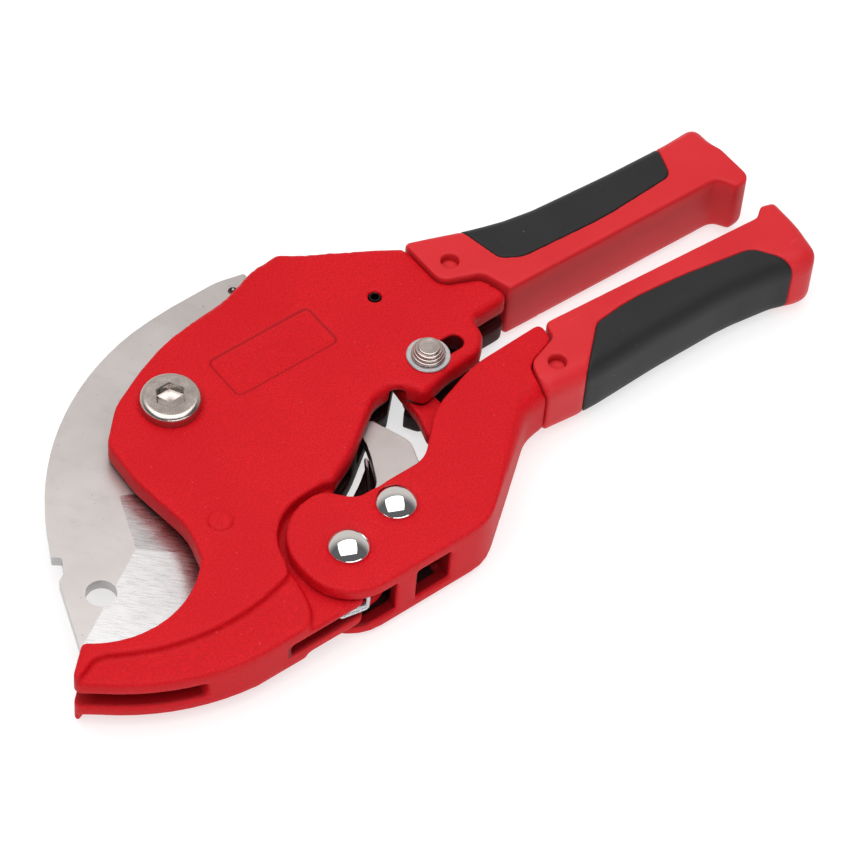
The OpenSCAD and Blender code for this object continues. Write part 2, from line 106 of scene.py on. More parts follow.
class Shape:
    """Signed distances in mm on a box of voxels, negative inside."""

    def __init__(self, field, corner):
        self.field = field
        self.corner = corner

    @staticmethod
    def of_nodes(*nodes):
        """The union of CAD nodes, on a window that holds them all with room to spare."""
        low = np.min([list(box_mm(n)[0]) for n in nodes], axis=0) - REACH
        high = np.max([list(box_mm(n)[1]) for n in nodes], axis=0) + REACH
        corner = tuple(int(math.floor(v / VOXEL)) for v in low)
        size = tuple(int(math.ceil(v / VOXEL)) - c for v, c in zip(high, corner))
        window = Shape(np.full(size, REACH, np.float32), corner)
        for node in nodes:
            points, triangles = cad_triangles(node)
            window.add(window.measured(points, triangles=triangles))
        return window

    def measured(self, points, triangles=None, quads=None):
        """Distances to a closed mesh, on this shape's window."""
        grid = vdb.FloatGrid.createLevelSetFromPolygons(
            points, triangles=triangles, quads=quads,
            transform=vdb.createLinearTransform(voxelSize=VOXEL), halfWidth=REACH / VOXEL)
        field = np.empty(self.field.shape, np.float32)
        grid.copyToArray(field, ijk=self.corner)
        return Shape(field, self.corner)

    def grid(self):
        grid = vdb.FloatGrid(float(abs(self.field).max()) + 1.0)
        grid.transform = vdb.createLinearTransform(voxelSize=VOXEL)
        grid.copyFromArray(self.field, ijk=self.corner)
        return grid

    def surface(self):
        """Points and faces of the surface, with larger faces where it is flat."""
        points, triangles, quads = self.grid().convertToPolygons(isovalue=0.0, adaptivity=FLATNESS)
        return points, triangles.tolist() + quads.tolist()

    def moved(self, level):
        """The same shape grown by that distance, with true distances again."""
        points, quads = self.grid().convertToQuads(level)
        return self.measured(points, quads=quads)

    def opened(self, radius):
        """Outer edges rounded by a ball of that radius."""
        shape = self.moved(-radius)
        shape.field -= radius
        return shape

    def closed(self, radius):
        """Inner corners filled by a ball of that radius."""
        shape = self.moved(radius)
        shape.field += radius
        return shape

    def columns_filled(self):
        """Every vertical column solid from its lowest point to its highest."""
        below = np.minimum.accumulate(self.field, axis=2)
        above = np.minimum.accumulate(self.field[:, :, ::-1], axis=2)[:, :, ::-1]
        return Shape(np.maximum(below, above), self.corner)

    def add(self, other):
        np.minimum(self.field, other.field, out=self.field)
        return self

    def keep(self, other):
        np.maximum(self.field, other.field, out=self.field)
        return self

    def axes(self):
        """x, y and z in mm of the voxels, ready to broadcast."""
        x, y, z = (
            (np.arange(n, dtype=np.float32) + c) * VOXEL for n, c in zip(self.field.shape, self.corner)
        )
        return x[:, None, None], y[None, :, None], z[None, None, :]

    def plug(self, at, radius, z, length=0.0):
        """Fills a round hole, or a slot that runs that far along X."""
        x, y, height = self.axes()
        along = np.clip(x - at[0], 0, length) if length else 0
        around = np.hypot(x - at[0] - along, y - at[1]) - radius
        self.field = np.minimum(self.field, np.maximum(around, np.maximum(z[0] - height, height - z[1])))
        return self

    def plug_polygon(self, corners, z):
        """Fills a convex outline, given counter-clockwise, between two heights."""
        x, y, height = self.axes()
        inside = np.maximum(z[0] - height, height - z[1])
        for (ax, ay), (bx, by) in zip(corners, corners[1:] + corners[:1]):
            length = math.hypot(bx - ax, by - ay)
            inside = np.maximum(inside, ((x - ax) * (by - ay) - (y - ay) * (bx - ax)) / length)
        self.field = np.minimum(self.field, inside.astype(np.float32))
        return self

    def softened(self):
        """Averages neighbours, which takes the steps out of slanted edges."""
        for axis in range(3):
            near = np.roll(self.field, 1, axis) + np.roll(self.field, -1, axis)
            self.field = 0.5 * self.field + 0.25 * near
        return self

    def plan(self):
        """Distance to the outline seen from above, as a flat array."""
        flat = self.field.min(axis=2)
        layers = self.field.shape[2]
        prism = Shape(np.repeat(flat[:, :, None], layers, axis=2), self.corner).moved(0.0)
        return prism.field[:, :, layers // 2]


def cad_triangles(node):
    """Points in mm and triangles of a CAD node."""
    mesh = frame["nodes"][node].data
    mesh.calc_loop_triangles()
    points = np.empty(len(mesh.vertices) * 3, np.float32)
    mesh.vertices.foreach_get("co", points)
    triangles = np.empty(len(mesh.loop_triangles) * 3, np.int32)
    mesh.loop_triangles.foreach_get("vertices", triangles)
    return points.reshape(-1, 3) / MM, triangles.reshape(-1, 3).astype(np.uint32)


def smoothstep(value, start, end):
    t = np.clip((value - start) / (end - start), 0, 1)
    return t * t * (3 - 2 * t)


def rounded_plate(shape, outline, z, top, bottom):
    """Plate with that outline between two heights, whose top and bottom edges have radii that vary."""
    height = shape.axes()[2]
    upper = height > MID_Z
    radius = np.where(upper, top[:, :, None], bottom[:, :, None])
    over = np.where(upper, height - z[1], z[0] - height) + radius
    side = outline[:, :, None] + radius
    edge = np.hypot(np.maximum(side, 0), np.maximum(over, 0))
    return Shape((edge + np.minimum(np.maximum(side, over), 0) - radius).astype(np.float32), shape.corner)


def between(shape, a, b, weight):
    """One shape that turns into another where the flat weight goes from 0 to 1."""
    return Shape(a.field + (b.field - a.field) * weight[:, :, None], shape.corner)


# ---------------------------------------------------------------- mesh making

def linked(name, data):
    """New object in the scene, round a mesh, lamp or camera."""
    obj = bpy.data.objects.new(name, data)
    bpy.context.scene.collection.objects.link(obj)
    return obj


def new_object(name, points, faces):
    """Smooth object from points in mm and lists of corners."""
    mesh = bpy.data.meshes.new(name)
    mesh.from_pydata([tuple(MM * v for v in p) for p in points], [], faces)
    mesh.polygons.foreach_set("use_smooth", [True] * len(mesh.polygons))
    return linked(name, mesh)


def face_outwards(obj):
    """Turns all faces over if the mesh is inside out."""
    build = bmesh.new()
    build.from_mesh(obj.data)
    if build.calc_volume(signed=True) < 0:
        bmesh.ops.reverse_faces(build, faces=build.faces[:])
        build.to_mesh(obj.data)
    build.free()
    return obj


def finish_piece(obj, body, material, replaced):
    obj.data.materials.clear()
    obj.data.materials.append(material)
    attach(obj, body)
    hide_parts(*replaced)
    return obj


def sculpted(name, shape, body, material, replaced):
    points, faces = shape.surface()
    obj = face_outwards(new_object(name, points, faces))
    return finish_piece(obj, body, material, replaced)


def lathe(name, profile, at, steps=96, start=0.0, sweep=360.0):
    """Turns a profile of (radius, z) round a vertical axis. It may be a function of the angle.
    A part turn gets flat end faces."""
    whole = abs(sweep - 360) < 1e-6
    turns = steps if whole else steps + 1
    points, faces = [], []
    for i in range(turns):
        a = math.radians(start + sweep * i / steps)
        section = profile(a) if callable(profile) else profile
        points += [(at[0] + r * math.cos(a), at[1] + r * math.sin(a), z) for r, z in section]
    n = len(section)
    for i in range(steps):
        for k in range(n):
            a, b = i * n + k, i * n + (k + 1) % n
            c, d = ((i + 1) % turns) * n + (k + 1) % n, ((i + 1) % turns) * n + k
            faces.append((a, d, c, b))
    if not whole:
        faces.append(tuple(range(n)))
        faces.append(tuple(reversed(range(steps * n, (steps + 1) * n))))
    return sharpen(clean(new_object(name, points, faces)))


def washer(name, at, inner, outer, z, edge=0.12, **turn):
    """Flat ring with rounded edges."""
    low, high = z
    profile = [(inner, low), (outer - edge, low), (outer, low + edge), (outer, high - edge)]
    profile += [(outer - edge, high), (inner + edge, high), (inner, high - edge)]
    return lathe(name, profile, at, **turn)


def joined(name, parts):
    """One object from several meshes."""
    build = bmesh.new()
    for part in parts:
        build.from_mesh(part.data)
    mesh = bpy.data.meshes.new(name)
    build.to_mesh(mesh)
    build.free()
    for part in parts:
        bpy.data.objects.remove(part)
    return sharpen(linked(name, mesh))


def hexagon(flats, angle):
    """Radius of a hexagon of that width over its flats, at an angle."""
    turn = (math.degrees(angle) % 60) - 30
    return flats / 2 / math.cos(math.radians(turn))


def clean(obj, distance=1e-4):
    """Merges points that coincide, drops collapsed faces and turns the normals out."""
    build = bmesh.new()
    build.from_mesh(obj.data)
    bmesh.ops.remove_doubles(build, verts=build.verts[:], dist=distance * MM)
    bmesh.ops.dissolve_degenerate(build, edges=build.edges[:], dist=distance * MM)
    bmesh.ops.recalc_face_normals(build, faces=build.faces[:])
    build.to_mesh(obj.data)
    build.free()
    return face_outwards(obj)


def sharpen(obj, angle=30.0):
    """Marks edges that turn more than that as sharp."""
    build = bmesh.new()
    build.from_mesh(obj.data)
    for edge in build.edges:
        edge.smooth = len(edge.link_faces) != 2 or edge.calc_face_angle(0) < math.radians(angle)
    build.to_mesh(obj.data)
    build.free()
    return obj


def quarter(centre, radius, start, end, steps=6):
    """Arc of (radius, z) points of a lathe profile."""
    return [
        (centre[0] + radius * math.cos(math.radians(start + (end - start) * i / steps)),
         centre[1] + radius * math.sin(math.radians(start + (end - start) * i / steps)))
        for i in range(steps + 1)
    ]


def tube(name, path, radius, sides=16):
    """Round wire along a path, with its ends closed by small domes."""
    path = [Vector(p) for p in path]
    tangents = [
        (path[min(i + 1, len(path) - 1)] - path[max(i - 1, 0)]).normalized() for i in range(len(path))
    ]
    normal = tangents[0].orthogonal().normalized()
    stations = []
    ends = [(-0.9, 0.35), (-0.55, 0.8)]
    for i, (point, tangent) in enumerate(zip(path, tangents)):
        normal = (normal - normal.project(tangent)).normalized()
        side = tangent.cross(normal)
        if i == 0:
            stations += [(point + tangent * radius * d, normal.copy(), side, radius * s) for d, s in ends]
        stations.append((point, normal.copy(), side, radius))
        if i == len(path) - 1:
            stations += [
                (point - tangent * radius * d, normal.copy(), side, radius * s) for d, s in reversed(ends)
            ]
    points = []
    for point, n, side, r in stations:
        for k in range(sides):
            a = math.tau * k / sides
            points.append(point + (n * math.cos(a) + side * math.sin(a)) * r)
    faces = []
    for i in range(len(stations) - 1):
        for k in range(sides):
            a, b = i * sides + k, i * sides + (k + 1) % sides
            faces.append((a, b, b + sides, a + sides))
    faces.append(tuple(reversed(range(sides))))
    faces.append(tuple(range((len(stations) - 1) * sides, len(stations) * sides)))
    return clean(new_object(name, points, faces))


# ---------------------------------------------------------------- materials

def srgb(r, g, b):
    """Linear colour from the usual 0 to 255 values."""
    return tuple(
        (v / 12.92 if v <= 0.04045 else ((v + 0.055) / 1.055) ** 2.4) for v in (r / 255, g / 255, b / 255)
    ) + (1.0,)


class Nodes:
    """Short ways to add shader nodes to a new material."""

    def __init__(self, name):
        self.material = bpy.data.materials.new(name)
        self.material.use_nodes = True
        self.tree = self.material.node_tree
        self.shader = self.tree.nodes["Principled BSDF"]
        self.place = self.tree.nodes.new("ShaderNodeTexCoord").outputs["Object"]

    def add(self, kind, inputs=None, **settings):
        node = self.tree.nodes.new("ShaderNode" + kind)
        for key, value in settings.items():
            setattr(node, key, value)
        for key, value in (inputs or {}).items():
            self.put(node.inputs[key], value)
        return node

    def put(self, socket, value):
        if isinstance(value, bpy.types.NodeSocket):
            self.tree.links.new(value, socket)
        else:
            socket.default_value = value

    def mapped(self, scale=(1, 1, 1), turn=0.0):
        """Place on the object, turned about Z and stretched."""
        turned = self.add("Mapping", {"Vector": self.place, "Rotation": (0, 0, math.radians(turn))})
        return self.add("Mapping", {"Vector": turned.outputs[0], "Scale": scale}).outputs[0]

    def noise(self, size, detail=2.0, roughness=0.5, where=None):
        """Noise whose grain is about that many mm across."""
        return self.add("TexNoise", {
            "Vector": where or self.place, "Scale": 1 / (size * MM), "Detail": detail,
            "Roughness": roughness}).outputs["Fac"]

    def spread(self, value, low, high, to_low=0.0, to_high=1.0):
        return self.add("MapRange", {
            "Value": value, "From Min": low, "From Max": high, "To Min": to_low, "To Max": to_high,
        }).outputs["Result"]

    def blend(self, factor, a, b):
        node = self.add("Mix", data_type="RGBA")
        self.put(node.inputs[0], factor)
        self.put(node.inputs[6], a)
        self.put(node.inputs[7], b)
        return node.outputs[2]

    def math(self, operation, a, b=0.0):
        node = self.add("Math", operation=operation)
        self.put(node.inputs[0], a)
        self.put(node.inputs[1], b)
        return node.outputs[0]

    def bump(self, height, depth, strength=1.0, under=None):
        """Bump of that many mm."""
        node = self.add("Bump", {"Height": height, "Strength": strength, "Distance": depth * MM})
        if under is not None:
            self.put(node.inputs["Normal"], under)
        return node.outputs[0]

    def set(self, **inputs):
        for key, value in inputs.items():
            self.put(self.shader.inputs[key.replace("_", " ")], value)
        return self.material


def room_shade(n, x, y, z, edge=0.5):
    """1 inside a box of the row frame and 0 outside it, with soft sides."""
    at = n.add("SeparateXYZ", {0: n.place})
    inside = 1.0
    for axis, (low, high) in zip("XYZ", (x, y, z)):
        rising = n.spread(at.outputs[axis], low * MM, (low + edge) * MM)
        falling = n.spread(at.outputs[axis], (high - edge) * MM, high * MM, 1.0, 0.0)
        inside = n.math("MULTIPLY", n.math("MULTIPLY", rising, falling), inside)
    return inside


def ledge_shade(n, panel, corner=1.6):
    """1 along the border of a rounded rectangle of the plan: a line of painted shade under its step."""
    at = n.add("SeparateXYZ", {0: n.place})
    away = []
    for axis, low, high in zip("XY", *panel):
        centred = n.math("ABSOLUTE", n.math("SUBTRACT", at.outputs[axis], (low + high) / 2 * MM))
        away.append(n.math("SUBTRACT", centred, ((high - low) / 2 - corner) * MM))
    squares = [n.math("POWER", n.math("MAXIMUM", value, 0.0), 2.0) for value in away]
    outside = n.math("SQRT", n.math("ADD", *squares))
    inside = n.math("MINIMUM", n.math("MAXIMUM", *away), 0.0)
    border = n.math("SUBTRACT", n.math("ADD", outside, inside), (corner - 0.1) * MM)
    upper = n.spread(at.outputs["Z"], 16.8 * MM, 17.0 * MM)
    return n.math("MULTIPLY", n.spread(n.math("ABSOLUTE", border), 0.1 * MM, 0.42 * MM, 1.0, 0.0), upper)


def powder_coat(name, shade_boxes, panel=None):
    """Fine-textured red paint, with painted shade that turns it near black inside those boxes of (x, y, z)
    ranges.
    """
    n = Nodes(name)
    grain = n.noise(0.44, 3.0, 0.6)
    orange_peel = n.noise(1.6, 2.0)
    cloud = n.noise(26, 2.0)
    specks = n.spread(n.noise(0.85, 1.0), 0.755, 0.79)
    dust = n.spread(n.noise(0.6, 1.0, where=n.mapped((1, 1.3, 0.8), 31)), 0.765, 0.80)
    red = n.blend(n.spread(cloud, 0.35, 0.65), srgb(204, 16, 28), srgb(212, 20, 32))
    red = n.blend(n.spread(grain, 0.3, 0.68, 0.9, 0.0), red, srgb(172, 8, 18))
    red = n.blend(n.math("MULTIPLY", specks, 0.35), red, srgb(222, 84, 86))
    red = n.blend(n.math("MULTIPLY", dust, 0.45), red, srgb(110, 12, 18))
    # lighter red along the sharpest edges: partly edge wear, partly painted highlight
    wear_and_highlight = n.spread(n.add("NewGeometry").outputs["Pointiness"], 0.52, 0.60)
    red = n.blend(n.math("MULTIPLY", wear_and_highlight, 0.22), red, srgb(220, 48, 56))
    # painted shade: each box darkens the paint to near black where the inside of the mechanism lies in
    # shade
    for x, y, z, strength in shade_boxes:
        red = n.blend(n.math("MULTIPLY", room_shade(n, x, y, z), strength), red, srgb(30, 6, 7))
    # painted shade: a dark line along the name panel's step
    if panel:
        red = n.blend(n.math("MULTIPLY", ledge_shade(n, panel), 0.55), red, srgb(112, 6, 14))
    peel = n.bump(orange_peel, 0.035, 0.6)
    return n.set(
        Base_Color=red, Roughness=n.spread(grain, 0.25, 0.75, 0.42, 0.58),
        Normal=n.bump(grain, 0.09, 0.9, peel), Specular_IOR_Level=0.12)


def moulded_plastic():
    n = Nodes("moulded_plastic")
    fine = n.noise(0.30, 2.0)
    cloud = n.noise(18, 2.0)
    red = n.blend(n.spread(cloud, 0.35, 0.65), srgb(198, 38, 44), srgb(204, 42, 48))
    scuff = n.spread(n.noise(5.0, 4.0, 0.6, n.mapped((1, 6, 6), 0)), 0.64, 0.72)
    red = n.blend(n.math("MULTIPLY", scuff, 0.10), red, srgb(230, 106, 108))
    return n.set(
        Base_Color=red, Roughness=n.spread(fine, 0.3, 0.7, 0.36, 0.46),
        Normal=n.bump(fine, 0.012, 0.6), Specular_IOR_Level=0.16, Subsurface_Weight=0.05,
        Subsurface_Radius=(1.2 * MM, 0.3 * MM, 0.2 * MM), Subsurface_Scale=1.0)


def soft_rubber():
    n = Nodes("soft_rubber")
    fine = n.noise(0.25, 3.0)
    cloud = n.noise(12, 3.0)
    dust = n.spread(n.noise(0.9, 1.0, where=n.mapped((1, 1.2, 0.9), 17)), 0.77, 0.81)
    grey = n.blend(n.spread(cloud, 0.3, 0.7), srgb(30, 30, 31), srgb(36, 35, 36))
    grey = n.blend(n.math("MULTIPLY", dust, 0.35), grey, srgb(120, 118, 118))
    return n.set(
        Base_Color=grey, Roughness=n.spread(cloud, 0.3, 0.7, 0.52, 0.60),
        Normal=n.bump(fine, 0.016, 0.7), Specular_IOR_Level=0.22, Sheen_Weight=0.05, Sheen_Roughness=0.5)


def steel(name, colour, rough, grain_turn=0.0, stretch=14.0, scratch=0.006, shade_box=None):
    """Brushed or tumbled metal, with fine lines along one direction, and painted shade that darkens it in
    one box.
    """
    n = Nodes(name)
    lines = n.noise(2.2, 4.0, 0.65, n.mapped((1, stretch, stretch), grain_turn))
    cloud = n.noise(6, 3.0)
    dark = tuple(0.90 * v for v in colour[:3]) + (1.0,)
    tone = n.blend(n.spread(cloud, 0.3, 0.7), dark, colour)
    if shade_box:
        # painted shade inside that box
        tone = n.blend(room_shade(n, *shade_box), tone, srgb(38, 28, 27))
    return n.set(
        Base_Color=tone, Metallic=1.0, Roughness=n.spread(lines, 0.3, 0.7, rough * 0.85, rough * 1.2),
        Normal=n.bump(lines, scratch, 0.8))


def blade_steel():
    """Satin plate, with a brighter grind beyond the line where its two faces start to lean together."""
    n = Nodes("blade_steel")
    leaning = n.add("SeparateXYZ", {0: n.add("NewGeometry").outputs["True Normal"]})
    flat = n.math("ABSOLUTE", leaning.outputs["Z"])
    ground = n.spread(flat, math.cos(math.radians(3.3)), math.cos(math.radians(2.2)), 1.0, 0.0)
    walls = n.spread(flat, 0.70, 0.80, 1.0, 0.0)
    tumbled = n.noise(0.55, 3.0, 0.6)
    cloud = n.noise(14, 3.0, 0.55)
    smear = n.noise(9, 3.0, 0.6, n.mapped((1, 3, 3), 60))
    lines = n.noise(4.0, 2.0, 0.6, n.mapped((0.02, 13, 13), 43))
    fine_lines = n.noise(1.5, 3.0, 0.7, n.mapped((0.02, 6, 6), 43))
    spots = n.spread(n.noise(0.8, 1.0, where=n.mapped((1, 1.1, 1), 40)), 0.745, 0.79)
    plate = n.blend(n.spread(cloud, 0.3, 0.7), srgb(188, 182, 180), srgb(200, 195, 194))
    plate = n.blend(n.math("MULTIPLY", n.spread(smear, 0.55, 0.72), 0.25), plate, srgb(168, 164, 163))
    plate = n.blend(n.math("MULTIPLY", spots, 0.5), plate, srgb(110, 102, 98))
    ground_tone = n.blend(n.spread(lines, 0.35, 0.65), srgb(184, 182, 183), srgb(203, 202, 203))
    tone = n.blend(ground, plate, ground_tone)
    tone = n.blend(n.math("MULTIPLY", walls, 0.35), tone, srgb(130, 126, 124))
    # painted shade: the blade's tail, seen through the lever's window, turns near black
    tone = n.blend(room_shade(n, (14, 50), (-50, -2), (0, 20), 2.0), tone, srgb(44, 32, 30))
    rough_plate = n.spread(tumbled, 0.3, 0.7, 0.34, 0.42)
    rough_ground = n.spread(lines, 0.3, 0.7, 0.24, 0.34)
    rough = n.add("Mix", data_type="FLOAT")
    n.put(rough.inputs[0], ground)
    n.put(rough.inputs[2], rough_plate)
    n.put(rough.inputs[3], rough_ground)
    relief = n.add("Mix", data_type="FLOAT")
    n.put(relief.inputs[0], ground)
    n.put(relief.inputs[2], n.math("MULTIPLY", tumbled, 0.35))
    scored = n.math("ADD", lines, n.math("MULTIPLY", fine_lines, 0.6))
    n.put(relief.inputs[3], n.math("MULTIPLY", scored, 0.5))
    return n.set(
        Base_Color=tone, Metallic=1.0, Roughness=rough.outputs[0],
        Normal=n.bump(relief.outputs[0], 0.022, 0.8))


def polished(name, colour, rough, waviness=0.01):
    n = Nodes(name)
    film = n.noise(2.5, 3.0)
    wave = n.noise(3.5, 2.0)
    smudge = n.spread(n.noise(1.6, 4.0, 0.65), 0.45, 0.75)
    tone = n.blend(n.math("MULTIPLY", smudge, 0.20), colour, tuple(0.82 * v for v in colour[:3]) + (1.0,))
    return n.set(
        Base_Color=tone, Metallic=1.0, Roughness=n.spread(film, 0.3, 0.7, rough * 0.7, rough * 1.5),
        Normal=n.bump(wave, waviness, 0.5))


# Boxes of (x, y, z) ranges in mm and a strength where the paint turns near black: painted shade inside the
# pawl window, the slots and the gaps between the cheeks.
FRAME_SHADE_BOXES = (
    ((9, 60), (-48, -8), (0, 13.4), 1.0),
    ((44, 92), (-30, -7.6), (0, 12.3), 0.95),
    ((-16, 13), (-69, -48), (7.9, 12.4), 0.55),
    ((-75, -35.3), (-75, -10), (7.5, 12.5), 0.5),
    ((-30, 66), (-20, 40), (7.5, 12.5), 0.9),
    ((52.4, 66), (-25.3, -19.9), (0, 17.7), 0.85),
)
LEVER_SHADE_BOXES = (
    ((-20, 26.5), (-64.5, -20), (1.9, 13.8), 1.0),
    ((25, 44.7), (-52, -20), (1.9, 13.8), 1.0),
    ((18.0, 28.8), (-66.8, -60), (3.8, 15.0), 0.6),
    ((-20, 13.8), (-66.8, -60), (3.8, 15.0), 0.6),
    ((40, 60), (-40, -15), (0, 8.6), 0.6),
)
PANEL = ((13.6, -7.3), (41.8, 4.9))
FRAME_PAINT = powder_coat("frame_powder_coat", FRAME_SHADE_BOXES, PANEL)
LEVER_PAINT = powder_coat("lever_powder_coat", LEVER_SHADE_BOXES)
PLASTIC = moulded_plastic()
RUBBER = soft_rubber()
BLADE = blade_steel()
CHROME = polished("polished_dome", srgb(226, 224, 224), 0.05, 0.006)
NICKEL = polished("nickel_plate", srgb(186, 177, 172), 0.22, 0.008)
# painted shade: the pawl spring's leg turns dark inside the window, its tip left bright
WIRE = steel("spring_wire", srgb(196, 196, 200), 0.28, stretch=4.0, shade_box=((14, 28.0), (-50, -30), (0, 20)))
ZINC = steel("zinc_plate", srgb(205, 205, 208), 0.30, grain_turn=30)
BRASS = steel("bush_brass", srgb(205, 172, 110), 0.32)
BLACKED = steel("black_oxide", srgb(40, 40, 42), 0.42, stretch=3.0)
PAWL_STEEL = steel("pawl_steel", srgb(196, 188, 186), 0.34, grain_turn=-35, stretch=10)


# ---------------------------------------------------------------- castings and handles

JAW_EDGE = 0.45      # rounding of the jaw's outer edges
WINDOW_EDGE = 1.8    # rounding of the frame's edge over the pawl
CRISP = 0.25         # rounding of the edges of slots, windows and holes
FILLET = 0.9         # inner corners of the jaw's step
HANDLE_BACK = 3.2    # rounding of the handles' backs, over and under
HANDLE_INSIDE = (0.8, 2.2)
LEVER_EDGE = 0.8
LEVER_OUTSIDE = 4.5
LOCK_SLOT = 7.5
RELIEF = [(43.2, -24.4), (45.9, -26.8), (54.6, -18.6), (54.6, -13.6), (52.8, -15.2)]
JAW_TO_BODY = (8, 20)            # X over which the jaw's fine edges turn into the body's soft ones
FILLET_END = (2, 10)             # X where the jaw's step stops
BACK_Y = (-14.0, -6.0)           # Y over which the upper handle's inner side turns into its back
HANDLE_END = (146, 151)          # X of the round ends of both handles
BOSS, BOSS_RADIUS, BOSS_RISE, BOSS_EDGE = (-10.3, -33.2), 2.8, 0.4, 0.25
PIN_BORES = ((PIVOT, 7.6, 0), (ANCHOR, 1.8, 0), (LOCK, 2.3, LOCK_SLOT))     # place, radius, length
PEG_BORE = 2.4
RIVET_BORE = 5.9                 # in the lever, over the whole head
EAR_BORE, EAR_REACH = 4.2, 4     # of the lever's rivet in the frame, and how far it goes from the middle
FLOOR = 3                        # height over the lower face from which the frame's bores are filled
PEG_SINK = 0.8                   # how far the sleeves' faces stand over the castings' faces


def own_detail(node, like, crisp=CRISP):
    """A node's own shape, with slightly broken edges, on the window of a bigger shape."""
    points, triangles = cad_triangles(node)
    raw = like.measured(points, triangles=triangles)
    return raw.opened(crisp) if crisp else raw


def along_x(shape, start, end):
    """0 before one X and 1 after another, with a soft step, as a flat array."""
    x, y, _ = shape.axes()
    return (smoothstep(x, start, end) + 0 * y)[:, :, 0].astype(np.float32)


def along_y(shape, start, end):
    x, y, _ = shape.axes()
    return (smoothstep(y, start, end) + 0 * x)[:, :, 0].astype(np.float32)


def handle_pieces(side, body, whole, outside):
    """Plastic sleeve and rubber inlay of one handle."""
    for part, kind, material, slot in (
            ("handle_sleeve", "sleeve", PLASTIC, "sleeve_plastic"),
            ("rubber_inlay", "grip", RUBBER, "grip_rubber")):
        node = f"{side}_{kind}"
        shape = own_detail(node, like=whole, crisp=0).keep(outside).softened()
        sculpted(f"{side}_{part}", shape, body, material, [node])


def filled_frame():
    """The frame's side without its holes, slots and name panel, so that they don't get rounded edges."""
    whole = Shape.of_nodes("body_casting", "upper_sleeve", "upper_grip").columns_filled()
    for at, radius, length in PIN_BORES:
        whole.plug(at, radius, (PLATE_LOW + FLOOR, PLATE_HIGH), length)
    whole.plug(LEVER_PIVOT, EAR_BORE, (MID_Z - EAR_REACH, MID_Z + EAR_REACH))
    whole.plug_polygon(RELIEF, (PLATE_LOW, PLATE_HIGH))
    whole.plug(UPPER_PEG, PEG_BORE, (MID_Z, PLATE_HIGH + PEG_SINK))
    x, y, z = whole.axes()
    panel = np.maximum(
        np.maximum(PANEL[0][0] - CRISP - x, x - PANEL[1][0] - CRISP),
        np.maximum(PANEL[0][1] - CRISP - y, y - PANEL[1][1] - CRISP))
    whole.field = np.minimum(whole.field, np.maximum(panel, np.maximum(MID_Z - z, z - PLATE_HIGH)))
    return whole.moved(0.0)


def add_boss(shape):
    """Low round boss with a soft rim, which the mould's pin leaves on the face."""
    x, y, z = shape.axes()
    side = np.hypot(x - BOSS[0], y - BOSS[1]) - BOSS_RADIUS + BOSS_EDGE
    rise = np.maximum(MID_Z + 4 - z, z - PLATE_HIGH - BOSS_RISE)
    outside = np.hypot(np.maximum(side, 0), np.maximum(rise, 0))
    boss = outside + np.minimum(np.maximum(side, rise), 0) - BOSS_EDGE
    shape.field = np.minimum(shape.field, boss.astype(np.float32))


def frame_side():
    """Frame casting with the upper handle: one rounded outside that its three pieces share."""
    whole = filled_frame()
    outline = whole.plan()
    back = along_y(whole, *BACK_Y)
    casting_top = 0.45 + 1.1 * along_x(whole, 8, 24) + 1.2 * along_x(whole, 60, 74) * back
    casting = rounded_plate(whole, outline, (PLATE_LOW, PLATE_HIGH), casting_top, casting_top)
    soft = between(whole, whole.opened(JAW_EDGE), whole.opened(WINDOW_EDGE), along_x(whole, *JAW_TO_BODY))
    body = own_detail("body_casting", like=whole)
    body = between(whole, body.closed(FILLET), body, along_x(whole, *FILLET_END))
    body = body.keep(soft).keep(casting)
    add_boss(body)
    body.softened()
    sculpted("frame_casting", body, "frame", FRAME_PAINT, ["body_casting"])

    swell = 0.35 + 0.65 * along_x(whole, 71, 92)
    hook = along_x(whole, 143, 149) * (1 - back)
    top = HANDLE_INSIDE[0] + swell * (HANDLE_BACK - HANDLE_INSIDE[0]) * back
    end = along_x(whole, *HANDLE_END) * (1 - hook)
    top = top + end * (HANDLE_BACK - top)
    bottom = HANDLE_INSIDE[1] + swell * (HANDLE_BACK - HANDLE_INSIDE[1]) * back + 2.4 * hook
    outside = rounded_plate(whole, outline, levels("upper_sleeve"), top, bottom)
    handle_pieces("upper", "frame", whole, outside)


def lever_side():
    """Lever casting with the lower handle."""
    whole = Shape.of_nodes("lever_casting", "lower_sleeve", "lower_grip").columns_filled()
    for at in (LEVER_PIVOT, PAWL_PIVOT):
        whole.plug(at, RIVET_BORE, (PLATE_LOW, PLATE_HIGH))
    whole.plug(LOWER_PEG, PEG_BORE, (MID_Z, PLATE_HIGH + PEG_SINK))
    outline = whole.plan()
    outer = 1 - along_y(whole, -44.0, -38.0)
    neck = along_x(whole, 40, 70)
    edge = LEVER_EDGE + neck * outer * (LEVER_OUTSIDE - LEVER_EDGE)
    outside = rounded_plate(whole, outline, (PLATE_LOW, PLATE_HIGH), edge, edge)
    casting = own_detail("lever_casting", like=whole).keep(outside).softened()
    sculpted("lever_casting_rounded", casting, "lever", LEVER_PAINT, ["lever_casting"])

    end = along_x(whole, *HANDLE_END)
    top = HANDLE_INSIDE[0] + outer * (LEVER_OUTSIDE - HANDLE_INSIDE[0])
    top = top + end * (2.5 - top)
    bottom = HANDLE_INSIDE[1] + outer * (LEVER_OUTSIDE - HANDLE_INSIDE[1])
    outside = rounded_plate(whole, outline, levels("lower_sleeve"), top, bottom)
    handle_pieces("lower", "lever", whole, outside)


frame_side()
lever_side()


# ---------------------------------------------------------------- blade and pawl

